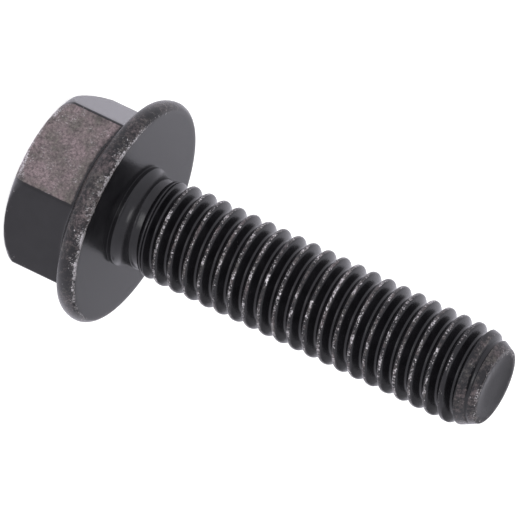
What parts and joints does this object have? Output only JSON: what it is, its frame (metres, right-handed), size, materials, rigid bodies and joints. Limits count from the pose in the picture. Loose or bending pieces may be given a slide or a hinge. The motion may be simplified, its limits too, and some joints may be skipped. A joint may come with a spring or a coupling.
{
  "type": "flange bolt",
  "caption": "Hexagon flange bolt with a crowned head, a round rimmed flange with a flat bearing face, and a fully threaded shank with a chamfered, dished tip.",
  "frame": {"origin": "centre of the flange's flat bearing face, the face that is drawn down on the work", "axes": "+Z along the shank, from the bearing face to the tip, so the head lies below; +X through a corner of the hexagon; the bolt stands on the flat top of its head"},
  "size_m": [0.0138, 0.0138, 0.0299],
  "materials": {
    "black_steel": "rolled steel with a satin black phosphate and oil finish, worn to bare metal in specks along the edges"
  },
  "bodies": {
    "root": {"flange_bolt": "black_steel"}
  },
  "joints": []
}
